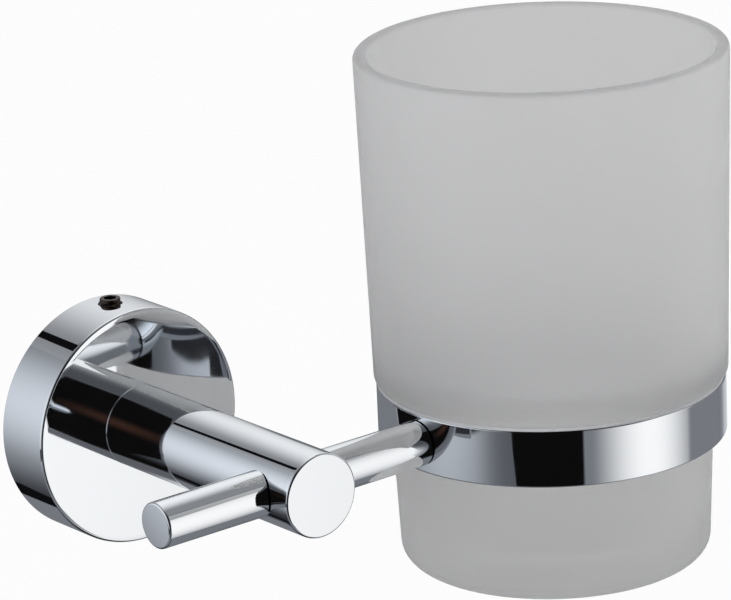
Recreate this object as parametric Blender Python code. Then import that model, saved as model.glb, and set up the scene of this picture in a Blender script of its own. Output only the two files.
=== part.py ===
"""Wall-mounted toothbrush holder: flange, arm, peg, ring and a stepped tumbler.

The origin is the centre of the flange's back, on the wall. The wall is the plane Y = 0, the
holder stands out along -Y, the ring is on the +X side and +Z is up.
"""

import math

import bmesh
import bpy
from mathutils import Matrix, Vector

MM = 0.001

# Clearances that many pieces share
SEAT_GAP = 0.3 * MM            # left between pieces that touch on the real holder
CUT_OVERRUN = 2.0 * MM         # how far a cutter runs past the faces it opens
MERGE_DISTANCE = 0.002 * MM    # a turned outline closes on itself within this
BORE_RUNOUT = 1.5 * MM         # depth of a tapped bore past the end of its screw

# Wall flange: a deep cup with its open side on the wall
FLANGE_DIAMETER = 50.0 * MM
FLANGE_DEPTH = 13.8 * MM
FLANGE_RIM_WALL = 3.2 * MM
FLANGE_FACE_WALL = 3.2 * MM
FLANGE_EDGE_ROUND = 0.6 * MM

# Wall plate: a dished bracket inside the flange
PLATE_RIM_CLEARANCE = 0.4 * MM
PLATE_FRONT_CLEARANCE = 1.2 * MM
PLATE_RIM_WALL = 3.0 * MM
PLATE_EDGE_ROUND = 0.4 * MM
PLATE_SCREW_CLEARANCE = 1.5 * MM
PLATE_GROOVE_DEPTH = 0.6 * MM
PLATE_GROOVE_LAND = 1.2 * MM
PLATE_GROOVE_CLEARANCE = 0.4 * MM
PLATE_SLOT_LENGTH = 7.0 * MM
PLATE_SLOT_WIDTH = 4.5 * MM
PLATE_SLOT_MARGIN = 2.4 * MM

# Set screw: a flat-point grub screw down through the top of the flange's rim, standing a little proud
SET_SCREW_DIAMETER = 5.0 * MM
SET_SCREW_LENGTH = 5.0 * MM
SET_SCREW_TIP_DIAMETER = 3.0 * MM
SET_SCREW_SOCKET = 2.5 * MM
SET_SCREW_SOCKET_DEPTH = 2.0 * MM

# Arm: a tube with a plug in its root and a cap on its end
ARM_DIAMETER = 17.4 * MM
ARM_LENGTH = 60.0 * MM
ARM_WALL = 1.2 * MM
ARM_CAP_RIM = 1.5 * MM
ARM_CAP_ROUND = 0.5 * MM
ARM_CAP_CLEARANCE = 0.7 * MM
ARM_PLUG_END = 3.5 * MM        # solid brass past the end of the plug's bore

# Arm screw, its split washer and the pin that stops the arm from turning
ARM_SCREW_DIAMETER = 6.0 * MM
ARM_SCREW_HEAD_DIAMETER = 10.5 * MM
ARM_SCREW_HEAD_HEIGHT = 3.3 * MM
ARM_SCREW_HEAD_ROUND = 1.2 * MM
ARM_SCREW_ENGAGEMENT = 9.0 * MM
ARM_SCREW_SOCKET = 4.0 * MM
ARM_SCREW_SOCKET_DEPTH = 2.1 * MM
WASHER_DIAMETER = 10.6 * MM
WASHER_THICKNESS = 1.2 * MM
WASHER_SPLIT = 1.0 * MM
PIN_DIAMETER = 1.5 * MM
PIN_FLANGE_DEPTH = 2.0 * MM
PIN_PLUG_DEPTH = 3.0 * MM

# Cross rod: the peg and the ring bar, held by one stud through the arm
ROD_DIAMETER = 9.5 * MM
ROD_SETBACK = 10.2 * MM        # from the arm's front end back to the rod's axis
PEG_REACH = 33.2 * MM          # from the arm's axis to the peg's end
PEG_END_ROUND = 0.5 * MM
BUSH_DIAMETER = 9.0 * MM
STUD_DIAMETER = 5.0 * MM
STUD_ENGAGEMENT = 8.0 * MM
STUD_CHAMFER = 0.5 * MM

# Ring, and the countersunk screw that holds it on its bar
RING_REACH = 33.3 * MM         # from the arm's axis to the near side of the ring
RING_DIAMETER = 72.6 * MM
RING_HEIGHT = 12.1 * MM
RING_WALL = 2.0 * MM
RING_EDGE_ROUND = 0.4 * MM
RING_SCREW_DIAMETER = 4.0 * MM
RING_SCREW_HEAD_DIAMETER = 7.0 * MM
RING_SCREW_ENGAGEMENT = 8.0 * MM
RING_SCREW_RECESS = 0.1 * MM
RING_SCREW_LAND = 0.4 * MM
RING_SCREW_SOCKET = 2.5 * MM
RING_SCREW_SOCKET_DEPTH = 1.2 * MM

# Tumbler: its step rests on the ring's top edge, its lower body hangs inside the ring
TUMBLER_UPPER_HEIGHT = 69.8 * MM
TUMBLER_LOWER_HEIGHT = 39.1 * MM
TUMBLER_OVERHANG = 0.45 * MM
TUMBLER_FLARE = 1.6 * MM
TUMBLER_RING_CLEARANCE = 0.4 * MM
TUMBLER_BASE_TAPER = 1.6 * MM
TUMBLER_WALL = 3.0 * MM
TUMBLER_LIP_FLAT = 0.4 * MM
TUMBLER_RAMP_HEIGHT = 6.0 * MM
TUMBLER_BASE_THICKNESS = 7.0 * MM
TUMBLER_SHOULDER_ROUND = 1.6 * MM
TUMBLER_HEEL_ROUND = 4.0 * MM
TUMBLER_WELL_ROUND = 5.0 * MM
TUMBLER_RAMP_ROUND = 5.0 * MM

# How finely round pieces and rounded corners are cut into flats
LARGE_STEPS = 48
ARM_STEPS = 40
ROD_STEPS = 32
SMALL_STEPS = 20
HEX_STEPS = 6
ROUND_TOLERANCE = 0.05 * MM    # how far a flat may lie inside a true round corner
SHARP_ANGLE = math.radians(35)

# Flange and wall plate, measured out from the wall
FLANGE_RADIUS = FLANGE_DIAMETER / 2
FLANGE_BORE_RADIUS = FLANGE_RADIUS - FLANGE_RIM_WALL
FLANGE_INNER_FACE = FLANGE_DEPTH - FLANGE_FACE_WALL
ARM_SCREW_RADIUS = ARM_SCREW_DIAMETER / 2
WASHER_BACK = FLANGE_INNER_FACE - SEAT_GAP - WASHER_THICKNESS
ARM_SCREW_SEAT = WASHER_BACK - SEAT_GAP
ARM_SCREW_BACK = ARM_SCREW_SEAT - ARM_SCREW_HEAD_HEIGHT
PLATE_RADIUS = FLANGE_BORE_RADIUS - PLATE_RIM_CLEARANCE
PLATE_DISH_RADIUS = PLATE_RADIUS - PLATE_RIM_WALL
PLATE_DEPTH = FLANGE_INNER_FACE - PLATE_FRONT_CLEARANCE
PLATE_WEB = ARM_SCREW_BACK - PLATE_SCREW_CLEARANCE
SLOT_OFFSET = PLATE_DISH_RADIUS - PLATE_SLOT_MARGIN - PLATE_SLOT_LENGTH / 2

# Set screw and the groove that its tip sits in
SET_SCREW_RADIUS = SET_SCREW_DIAMETER / 2
SET_SCREW_TIP_RADIUS = SET_SCREW_TIP_DIAMETER / 2
GROOVE_RADIUS = PLATE_RADIUS - PLATE_GROOVE_DEPTH
GROOVE_HALF_FLOOR = SET_SCREW_TIP_RADIUS + PLATE_GROOVE_CLEARANCE
GROOVE_HALF_MOUTH = GROOVE_HALF_FLOOR + PLATE_GROOVE_DEPTH
SET_SCREW_DEPTH = PLATE_DEPTH - PLATE_GROOVE_LAND - GROOVE_HALF_MOUTH
SET_SCREW_TIP = GROOVE_RADIUS + SEAT_GAP

# Arm, measured out from the wall
ARM_RADIUS = ARM_DIAMETER / 2
ARM_BORE_RADIUS = ARM_RADIUS - ARM_WALL
ARM_CORE_RADIUS = ARM_BORE_RADIUS - SEAT_GAP
ARM_ROOT = FLANGE_DEPTH + SEAT_GAP
ARM_END = FLANGE_DEPTH + ARM_LENGTH
CAP_BACK = ARM_END - ARM_CAP_RIM
PLUG_BORE_END = ARM_ROOT + ARM_SCREW_ENGAGEMENT + BORE_RUNOUT
PIN_RADIUS = PIN_DIAMETER / 2
PIN_OFFSET = (ARM_SCREW_RADIUS + ARM_CORE_RADIUS) / 2

# Cross rod, measured out from the arm's axis
ROD_RADIUS = ROD_DIAMETER / 2
ROD_DEPTH = ARM_END - ROD_SETBACK
BUSH_RADIUS = BUSH_DIAMETER / 2
CAP_SPIGOT_END = ROD_DEPTH + BUSH_RADIUS + ARM_CAP_CLEARANCE
STUD_RADIUS = STUD_DIAMETER / 2
STUD_REACH = ARM_RADIUS + STUD_ENGAGEMENT
STUD_BORE_REACH = STUD_REACH + BORE_RUNOUT

# Ring and its screw
RING_RADIUS = RING_DIAMETER / 2
RING_BORE_RADIUS = RING_RADIUS - RING_WALL
RING_CENTRE = RING_REACH + RING_RADIUS
RING_TOP = RING_HEIGHT / 2
RING_SCREW_RADIUS = RING_SCREW_DIAMETER / 2
RING_SCREW_HEAD_RADIUS = RING_SCREW_HEAD_DIAMETER / 2
RING_SCREW_TOP = RING_REACH + RING_WALL - RING_SCREW_RECESS
RING_SCREW_NECK = RING_REACH + RING_SCREW_LAND - RING_SCREW_RECESS
RING_SCREW_TIP = RING_REACH - RING_SCREW_ENGAGEMENT

# Tumbler
TUMBLER_STEP = RING_TOP + SEAT_GAP
TUMBLER_RIM = TUMBLER_STEP + TUMBLER_UPPER_HEIGHT
TUMBLER_BASE = TUMBLER_STEP - TUMBLER_LOWER_HEIGHT
TUMBLER_FLOOR = TUMBLER_BASE + TUMBLER_BASE_THICKNESS
TUMBLER_NECK_RADIUS = RING_BORE_RADIUS - TUMBLER_RING_CLEARANCE
TUMBLER_BASE_RADIUS = TUMBLER_NECK_RADIUS - TUMBLER_BASE_TAPER
TUMBLER_SHOULDER_RADIUS = RING_RADIUS + TUMBLER_OVERHANG
TUMBLER_RIM_RADIUS = TUMBLER_SHOULDER_RADIUS + TUMBLER_FLARE
TUMBLER_LIP_ROUND = (TUMBLER_WALL - TUMBLER_LIP_FLAT) / 2

# Where pieces are turned about, and which way their own +Z points
WALL_CENTRE = Vector((0, 0, 0))
ROD_CENTRE = Vector((0, -ROD_DEPTH, 0))
RING_PLACE = Vector((RING_CENTRE, -ROD_DEPTH, 0))
UPRIGHT = (0, 0, 0)
OUT_FROM_WALL = (math.pi / 2, 0, 0)
ALONG_ROD = (0, math.pi / 2, 0)


def clear_scene():
    for thing in list(bpy.data.objects):
        bpy.data.objects.remove(thing, do_unlink=True)


def make_material(name, colour, roughness, metallic):
    material = bpy.data.materials.new(name)
    material.use_nodes = True
    shader = material.node_tree.nodes["Principled BSDF"]
    shader.inputs["Base Color"].default_value = (*colour, 1)
    shader.inputs["Roughness"].default_value = roughness
    shader.inputs["Metallic"].default_value = metallic
    material.diffuse_color = (*colour, 1)
    return material


def add_object(name, bm, place, turn, material):
    """Close a bmesh into an object. With no material it is a cutter, drawn as wires."""
    bmesh.ops.remove_doubles(bm, verts=bm.verts, dist=MERGE_DISTANCE)
    bmesh.ops.recalc_face_normals(bm, faces=bm.faces)
    mesh = bpy.data.meshes.new(name)
    bm.to_mesh(mesh)
    bm.free()
    thing = bpy.data.objects.new(name, mesh)
    thing.location = place
    thing.rotation_euler = turn
    bpy.context.scene.collection.objects.link(thing)
    if material is None:
        thing.hide_render = True
        thing.display_type = "WIRE"
    else:
        mesh.materials.append(material)
        mesh.shade_smooth()
        mesh.set_sharp_from_angle(angle=SHARP_ANGLE)
    return thing


def round_corners(corners):
    """Points of an outline whose corners are (radius, height) or (radius, height, round)."""
    points = []
    for index, corner in enumerate(corners):
        here = Vector((corner[0], 0, corner[1]))
        if len(corner) == 2:
            points.append(here)
            continue
        before = corners[index - 1]
        after = corners[(index + 1) % len(corners)]
        to_before = (Vector((before[0], 0, before[1])) - here).normalized()
        to_after = (Vector((after[0], 0, after[1])) - here).normalized()
        half_angle = to_before.angle(to_after) / 2
        inward = (to_before + to_after).normalized() / math.sin(half_angle)
        start = (to_before / math.tan(half_angle) - inward).normalized()
        end = (to_after / math.tan(half_angle) - inward).normalized()
        widest_step = 2 * math.acos(1 - ROUND_TOLERANCE / corner[2])
        steps = math.ceil((math.pi - 2 * half_angle) / widest_step)
        for step in range(steps + 1):
            points.append(here + (inward + start.slerp(end, step / steps)) * corner[2])
    return points


def turn_outline(name, corners, steps, place, turn, material=None, hollow=False):
    """A turned piece. A hollow one's outline is closed; a solid one's starts and ends on the axis."""
    bm = bmesh.new()
    verts = [bm.verts.new(point) for point in round_corners(corners)]
    next_verts = verts[1:] + verts[:1] if hollow else verts[1:]
    edges = [bm.edges.new(pair) for pair in zip(verts, next_verts)]
    bmesh.ops.spin(bm, geom=verts + edges, cent=WALL_CENTRE, axis=(0, 0, 1),
                   angle=2 * math.pi, steps=steps)
    return add_object(name, bm, place, turn, material)


def turn_bar(name, radius, start, end, steps, place, turn, material=None):
    """A plain round bar, or with HEX_STEPS a hexagonal one, from start to end on its own axis."""
    corners = [(0, end), (radius, end), (radius, start), (0, start)]
    return turn_outline(name, corners, steps, place, turn, material)


def hex_cutter(name, across_flats, start, end, place, turn):
    return turn_bar(name, across_flats / math.sqrt(3), start, end, HEX_STEPS, place, turn)


def slot_cutter(name, heading, place):
    """A cutter for one screw slot of the wall plate, with its length at the angle heading."""
    bm = bmesh.new()
    half_run = (PLATE_SLOT_LENGTH - PLATE_SLOT_WIDTH) / 2
    end_steps = SMALL_STEPS // 2
    outline = []
    for end in (heading, heading + math.pi):
        centre = Vector((math.cos(end), math.sin(end), 0)) * half_run
        for step in range(end_steps + 1):
            angle = end + math.pi * (step / end_steps - 1 / 2)
            outline.append(centre + Vector((math.cos(angle), math.sin(angle), 0)) * PLATE_SLOT_WIDTH / 2)
    floor = bm.faces.new([bm.verts.new(point) for point in outline])
    grown = bmesh.ops.extrude_face_region(bm, geom=[floor])
    raised = [item for item in grown["geom"] if isinstance(item, bmesh.types.BMVert)]
    bmesh.ops.translate(bm, verts=raised, vec=(0, 0, PLATE_WEB + 2 * CUT_OVERRUN))
    return add_object(name, bm, place + Vector((0, CUT_OVERRUN, 0)), OUT_FROM_WALL, None)


def cut(piece, cutter, operation="DIFFERENCE"):
    modifier = piece.modifiers.new(cutter.name, "BOOLEAN")
    modifier.operation = operation
    modifier.solver = "EXACT"
    modifier.object = cutter


def make_wall_plate(zinc):
    corners = [
        (0, PLATE_WEB),
        (PLATE_DISH_RADIUS, PLATE_WEB),
        (PLATE_DISH_RADIUS, PLATE_DEPTH),
        (PLATE_RADIUS, PLATE_DEPTH, PLATE_EDGE_ROUND),
        (PLATE_RADIUS, SET_SCREW_DEPTH + GROOVE_HALF_MOUTH),
        (GROOVE_RADIUS, SET_SCREW_DEPTH + GROOVE_HALF_FLOOR),
        (GROOVE_RADIUS, SET_SCREW_DEPTH - GROOVE_HALF_FLOOR),
        (PLATE_RADIUS, SET_SCREW_DEPTH - GROOVE_HALF_MOUTH),
        (PLATE_RADIUS, 0),
        (0, 0),
    ]
    plate = turn_outline("wall_plate", corners, LARGE_STEPS, WALL_CENTRE, OUT_FROM_WALL, zinc)
    # One slot lies level and one stands upright, so the plate can be set straight on the wall
    cut(plate, slot_cutter("left_slot_cut", 0, Vector((-SLOT_OFFSET, 0, 0))))
    cut(plate, slot_cutter("right_slot_cut", math.pi / 2, Vector((SLOT_OFFSET, 0, 0))))


def make_wall_flange(chrome, pin_bore):
    corners = [
        (FLANGE_RADIUS, FLANGE_DEPTH, FLANGE_EDGE_ROUND),
        (FLANGE_RADIUS, 0),
        (FLANGE_BORE_RADIUS, 0),
        (FLANGE_BORE_RADIUS, FLANGE_INNER_FACE),
        (ARM_SCREW_RADIUS, FLANGE_INNER_FACE),
        (ARM_SCREW_RADIUS, FLANGE_DEPTH),
    ]
    flange = turn_outline("wall_flange", corners, LARGE_STEPS, WALL_CENTRE, OUT_FROM_WALL, chrome,
                          hollow=True)
    rim_bore = turn_bar("set_screw_cut", SET_SCREW_RADIUS, FLANGE_BORE_RADIUS - CUT_OVERRUN,
                        FLANGE_RADIUS + CUT_OVERRUN, SMALL_STEPS,
                        Vector((0, -SET_SCREW_DEPTH, 0)), UPRIGHT)
    cut(flange, rim_bore)
    cut(flange, pin_bore)


def make_set_screw(black_steel):
    """Its origin is at its tip, on the line that it is screwed along."""
    radius = SET_SCREW_RADIUS - SEAT_GAP
    place = Vector((0, -SET_SCREW_DEPTH, SET_SCREW_TIP))
    corners = [
        (0, SET_SCREW_LENGTH),
        (radius, SET_SCREW_LENGTH),
        (radius, radius - SET_SCREW_TIP_RADIUS),
        (SET_SCREW_TIP_RADIUS, 0),
        (0, 0),
    ]
    screw = turn_outline("set_screw", corners, SMALL_STEPS, place, UPRIGHT, black_steel)
    cut(screw, hex_cutter("set_screw_socket_cut", SET_SCREW_SOCKET,
                          SET_SCREW_LENGTH - SET_SCREW_SOCKET_DEPTH,
                          SET_SCREW_LENGTH + CUT_OVERRUN, place, UPRIGHT))


def make_arm_tube(chrome, stud_bore):
    corners = [
        (ARM_RADIUS, CAP_BACK - SEAT_GAP),
        (ARM_RADIUS, ARM_ROOT),
        (ARM_BORE_RADIUS, ARM_ROOT),
        (ARM_BORE_RADIUS, CAP_BACK - SEAT_GAP),
    ]
    tube = turn_outline("arm_tube", corners, ARM_STEPS, WALL_CENTRE, OUT_FROM_WALL, chrome,
                        hollow=True)
    cut(tube, stud_bore)


def make_arm_end_cap(chrome):
    corners = [
        (0, ARM_END),
        (ARM_RADIUS, ARM_END, ARM_CAP_ROUND),
        (ARM_RADIUS, CAP_BACK),
        (ARM_CORE_RADIUS, CAP_BACK),
        (ARM_CORE_RADIUS, CAP_SPIGOT_END),
        (0, CAP_SPIGOT_END),
    ]
    turn_outline("arm_end_cap", corners, ARM_STEPS, WALL_CENTRE, OUT_FROM_WALL, chrome)


def make_arm_root_plug(brass, pin_bore):
    plug_end = PLUG_BORE_END + ARM_PLUG_END
    corners = [
        (0, plug_end),
        (ARM_CORE_RADIUS, plug_end),
        (ARM_CORE_RADIUS, ARM_ROOT),
        (ARM_SCREW_RADIUS, ARM_ROOT),
        (ARM_SCREW_RADIUS, PLUG_BORE_END),
        (0, PLUG_BORE_END),
    ]
    plug = turn_outline("arm_root_plug", corners, ROD_STEPS, WALL_CENTRE, OUT_FROM_WALL, brass)
    cut(plug, pin_bore)


def make_arm_screw(steel):
    shank = ARM_SCREW_RADIUS - SEAT_GAP
    head = ARM_SCREW_HEAD_DIAMETER / 2
    tip = ARM_ROOT + ARM_SCREW_ENGAGEMENT
    corners = [
        (0, tip),
        (shank, tip),
        (shank, ARM_SCREW_SEAT),
        (head, ARM_SCREW_SEAT),
        (head, ARM_SCREW_BACK, ARM_SCREW_HEAD_ROUND),
        (0, ARM_SCREW_BACK),
    ]
    screw = turn_outline("arm_screw", corners, SMALL_STEPS, WALL_CENTRE, OUT_FROM_WALL, steel)
    cut(screw, hex_cutter("arm_screw_socket_cut", ARM_SCREW_SOCKET, ARM_SCREW_BACK - CUT_OVERRUN,
                          ARM_SCREW_BACK + ARM_SCREW_SOCKET_DEPTH, WALL_CENTRE, OUT_FROM_WALL))


def make_arm_lock_washer(steel):
    corners = [
        (WASHER_DIAMETER / 2, WASHER_BACK + WASHER_THICKNESS),
        (WASHER_DIAMETER / 2, WASHER_BACK),
        (ARM_SCREW_RADIUS, WASHER_BACK),
        (ARM_SCREW_RADIUS, WASHER_BACK + WASHER_THICKNESS),
    ]
    washer = turn_outline("arm_lock_washer", corners, SMALL_STEPS, WALL_CENTRE, OUT_FROM_WALL,
                          steel, hollow=True)
    bm = bmesh.new()
    split_size = Vector((WASHER_SPLIT, WASHER_THICKNESS + 2 * CUT_OVERRUN, WASHER_DIAMETER))
    bmesh.ops.create_cube(bm, size=1, matrix=Matrix.Diagonal((*split_size, 1)))
    split_place = Vector((0, -WASHER_BACK - WASHER_THICKNESS / 2, -WASHER_DIAMETER / 2))
    cut(washer, add_object("washer_split_cut", bm, split_place, UPRIGHT, None))


def make_arm_locating_pin(steel):
    turn_bar("arm_locating_pin", PIN_RADIUS, FLANGE_DEPTH - PIN_FLANGE_DEPTH + SEAT_GAP,
             ARM_ROOT + PIN_PLUG_DEPTH - SEAT_GAP, SMALL_STEPS,
             Vector((0, 0, PIN_OFFSET)), OUT_FROM_WALL, steel)


def make_cross_bush(brass):
    corners = [
        (BUSH_RADIUS, ARM_RADIUS),
        (BUSH_RADIUS, -ARM_RADIUS),
        (STUD_RADIUS, -ARM_RADIUS),
        (STUD_RADIUS, ARM_RADIUS),
    ]
    bush = turn_outline("cross_bush", corners, ROD_STEPS, ROD_CENTRE, ALONG_ROD, brass,
                        hollow=True)
    core = turn_bar("arm_core_keep", ARM_CORE_RADIUS, ARM_ROOT, ARM_END, ARM_STEPS,
                    WALL_CENTRE, OUT_FROM_WALL)
    cut(bush, core, "INTERSECT")


def make_cross_stud(steel):
    radius = STUD_RADIUS - SEAT_GAP
    corners = [
        (0, STUD_REACH),
        (radius - STUD_CHAMFER, STUD_REACH),
        (radius, STUD_REACH - STUD_CHAMFER),
        (radius, STUD_CHAMFER - STUD_REACH),
        (radius - STUD_CHAMFER, -STUD_REACH),
        (0, -STUD_REACH),
    ]
    turn_outline("cross_stud", corners, SMALL_STEPS, ROD_CENTRE, ALONG_ROD, steel)


def make_peg(chrome, arm_saddle, stud_bore):
    corners = [
        (0, 0),
        (ROD_RADIUS, 0),
        (ROD_RADIUS, -PEG_REACH, PEG_END_ROUND),
        (0, -PEG_REACH),
    ]
    peg = turn_outline("peg", corners, ROD_STEPS, ROD_CENTRE, ALONG_ROD, chrome)
    cut(peg, arm_saddle)
    cut(peg, stud_bore)


def make_ring_bar(chrome, arm_saddle, stud_bore, ring_screw_bore):
    bar = turn_bar("ring_bar", ROD_RADIUS, 0, RING_REACH + RING_WALL, ROD_STEPS,
                   ROD_CENTRE, ALONG_ROD, chrome)
    ring_saddle = turn_bar("ring_saddle_cut", RING_RADIUS + SEAT_GAP, -RING_TOP - CUT_OVERRUN,
                           RING_TOP + CUT_OVERRUN, LARGE_STEPS, RING_PLACE, UPRIGHT)
    cut(bar, arm_saddle)
    cut(bar, ring_saddle)
    cut(bar, stud_bore)
    cut(bar, ring_screw_bore)


def make_ring_band(chrome, ring_screw_bore):
    corners = [
        (RING_RADIUS, RING_TOP, RING_EDGE_ROUND),
        (RING_RADIUS, -RING_TOP, RING_EDGE_ROUND),
        (RING_BORE_RADIUS, -RING_TOP, RING_EDGE_ROUND),
        (RING_BORE_RADIUS, RING_TOP, RING_EDGE_ROUND),
    ]
    band = turn_outline("ring_band", corners, LARGE_STEPS, RING_PLACE, UPRIGHT, chrome,
                        hollow=True)
    cut(band, ring_screw_bore)


def make_ring_screw(steel):
    shank = RING_SCREW_RADIUS - SEAT_GAP
    corners = [
        (0, RING_SCREW_TOP),
        (RING_SCREW_HEAD_RADIUS, RING_SCREW_TOP),
        (shank, RING_SCREW_NECK),
        (shank, RING_SCREW_TIP),
        (0, RING_SCREW_TIP),
    ]
    screw = turn_outline("ring_screw", corners, SMALL_STEPS, ROD_CENTRE, ALONG_ROD, steel)
    cut(screw, hex_cutter("ring_screw_socket_cut", RING_SCREW_SOCKET,
                          RING_SCREW_TOP - RING_SCREW_SOCKET_DEPTH,
                          RING_SCREW_TOP + CUT_OVERRUN, ROD_CENTRE, ALONG_ROD))


def make_tumbler(glass):
    """Its origin is on its own axis, level with the ring, so that it lifts straight up."""
    corners = [
        (0, TUMBLER_FLOOR),
        (TUMBLER_BASE_RADIUS - TUMBLER_WALL, TUMBLER_FLOOR, TUMBLER_WELL_ROUND),
        (TUMBLER_NECK_RADIUS - TUMBLER_WALL, TUMBLER_STEP, TUMBLER_RAMP_ROUND),
        (TUMBLER_SHOULDER_RADIUS - TUMBLER_WALL, TUMBLER_STEP + TUMBLER_RAMP_HEIGHT,
         TUMBLER_RAMP_ROUND),
        (TUMBLER_RIM_RADIUS - TUMBLER_WALL, TUMBLER_RIM, TUMBLER_LIP_ROUND),
        (TUMBLER_RIM_RADIUS, TUMBLER_RIM, TUMBLER_LIP_ROUND),
        (TUMBLER_SHOULDER_RADIUS, TUMBLER_STEP, TUMBLER_SHOULDER_ROUND),
        (TUMBLER_NECK_RADIUS, TUMBLER_STEP),
        (TUMBLER_BASE_RADIUS, TUMBLER_BASE, TUMBLER_HEEL_ROUND),
        (0, TUMBLER_BASE),
    ]
    turn_outline("tumbler", corners, LARGE_STEPS, RING_PLACE, UPRIGHT, glass)


def main():
    clear_scene()
    chrome = make_material("chrome plated brass", (0.78, 0.79, 0.81), 0.05, 1)
    zinc = make_material("zinc die casting", (0.60, 0.61, 0.63), 0.45, 1)
    brass = make_material("turned brass", (0.78, 0.60, 0.32), 0.30, 1)
    steel = make_material("stainless steel", (0.60, 0.60, 0.61), 0.30, 1)
    black_steel = make_material("black oxide steel", (0.10, 0.08, 0.07), 0.35, 1)
    glass = make_material("frosted glass", (0.80, 0.81, 0.82), 0.60, 0)

    pin_bore = turn_bar("pin_bore_cut", PIN_RADIUS + SEAT_GAP, FLANGE_DEPTH - PIN_FLANGE_DEPTH,
                        ARM_ROOT + PIN_PLUG_DEPTH, SMALL_STEPS,
                        Vector((0, 0, PIN_OFFSET)), OUT_FROM_WALL)
    arm_saddle = turn_bar("arm_saddle_cut", ARM_RADIUS + SEAT_GAP, ARM_ROOT, ARM_END,
                          ARM_STEPS, WALL_CENTRE, OUT_FROM_WALL)
    stud_bore = turn_bar("stud_bore_cut", STUD_RADIUS, -STUD_BORE_REACH, STUD_BORE_REACH,
                         SMALL_STEPS, ROD_CENTRE, ALONG_ROD)
    ring_screw_bore = turn_outline("ring_screw_bore_cut", [
        (0, RING_SCREW_TOP + CUT_OVERRUN),
        (RING_SCREW_HEAD_RADIUS + SEAT_GAP, RING_SCREW_TOP + CUT_OVERRUN),
        (RING_SCREW_HEAD_RADIUS + SEAT_GAP, RING_SCREW_TOP),
        (RING_SCREW_RADIUS, RING_SCREW_NECK),
        (RING_SCREW_RADIUS, RING_SCREW_TIP - BORE_RUNOUT),
        (0, RING_SCREW_TIP - BORE_RUNOUT),
    ], SMALL_STEPS, ROD_CENTRE, ALONG_ROD)

    make_wall_plate(zinc)
    make_wall_flange(chrome, pin_bore)
    make_set_screw(black_steel)
    make_arm_tube(chrome, stud_bore)
    make_arm_end_cap(chrome)
    make_arm_root_plug(brass, pin_bore)
    make_arm_screw(steel)
    make_arm_lock_washer(steel)
    make_arm_locating_pin(steel)
    make_cross_bush(brass)
    make_cross_stud(steel)
    make_peg(chrome, arm_saddle, stud_bore)
    make_ring_bar(chrome, arm_saddle, stud_bore, ring_screw_bore)
    make_ring_band(chrome, ring_screw_bore)
    make_ring_screw(steel)
    make_tumbler(glass)


main()
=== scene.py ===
"""Looks of a wall-mounted toothbrush holder: chrome-plated brass with an acid-frosted tumbler.

Run as a script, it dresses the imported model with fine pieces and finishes, and sets up the studio
and the camera. Sizes are in metres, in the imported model's own frame: the wall is the plane Y = 0,
the arm stands out along -Y, the ring is on the +X side and +Z is up.
"""

import math

import bmesh
import bpy
from bpy.props import FloatProperty, FloatVectorProperty, PointerProperty
from mathutils import Matrix, Vector


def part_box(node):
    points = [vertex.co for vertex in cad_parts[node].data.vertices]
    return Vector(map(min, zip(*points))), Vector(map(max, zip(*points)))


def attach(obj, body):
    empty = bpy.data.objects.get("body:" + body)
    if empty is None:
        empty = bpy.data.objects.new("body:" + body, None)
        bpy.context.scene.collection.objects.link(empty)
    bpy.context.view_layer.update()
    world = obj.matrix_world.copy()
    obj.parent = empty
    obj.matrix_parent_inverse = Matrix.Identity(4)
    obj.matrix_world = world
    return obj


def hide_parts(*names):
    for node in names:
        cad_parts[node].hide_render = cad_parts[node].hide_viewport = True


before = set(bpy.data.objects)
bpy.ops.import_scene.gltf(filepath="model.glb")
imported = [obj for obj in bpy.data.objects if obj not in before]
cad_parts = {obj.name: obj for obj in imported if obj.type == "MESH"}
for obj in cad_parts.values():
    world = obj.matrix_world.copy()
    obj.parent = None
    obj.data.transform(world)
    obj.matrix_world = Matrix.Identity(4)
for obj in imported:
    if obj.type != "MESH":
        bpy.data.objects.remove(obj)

bl_info = {
    "name": "Toothbrush Holder",
    "version": (1, 0, 0),
    "blender": (4, 5, 0),
    "location": "3D View > Sidebar > Holder",
    "description": "Makes a chrome toothbrush holder with a frosted glass tumbler, and its studio",
    "category": "Object",
}

MM = 0.001

# How finely round pieces are cut into flats, from which angle an edge is sharp, how near points
# are merged, and how far a cutter reaches past what it cuts
LARGE_STEPS = 256
ROD_STEPS = 160
SMALL_STEPS = 64
HEX_STEPS = 6
ARC_STEP = math.radians(9)
SHARP_ANGLE = math.radians(28)
MERGE_DISTANCE = 0.001 * MM
CUT_OVERRUN = 2 * MM
ROWS_PER_PITCH = 8

# How patterns and shades lie on a finish. Most of a noise lies between its low and high levels,
# and a wave texture at a scale of 1 has its rings 2 pi / 20 apart.
NOISE_LOW = 0.3
NOISE_HIGH = 0.7
WAVE_RADIANS = 20
GLASS_IOR = 1.5
# Heights over which the painted shade of the lip and of the foot fades in
LIP_SHADE_FADE = 0.9 * MM
FOOT_SHADE_FADE = 12 * MM
WHITE = (1, 1, 1, 1)

# Which way a turned piece's own +Z points in the holder
UPRIGHT = (0, 0, 0)
OUT_FROM_WALL = (math.pi / 2, 0, 0)
ALONG_ROD = (0, math.pi / 2, 0)

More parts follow.
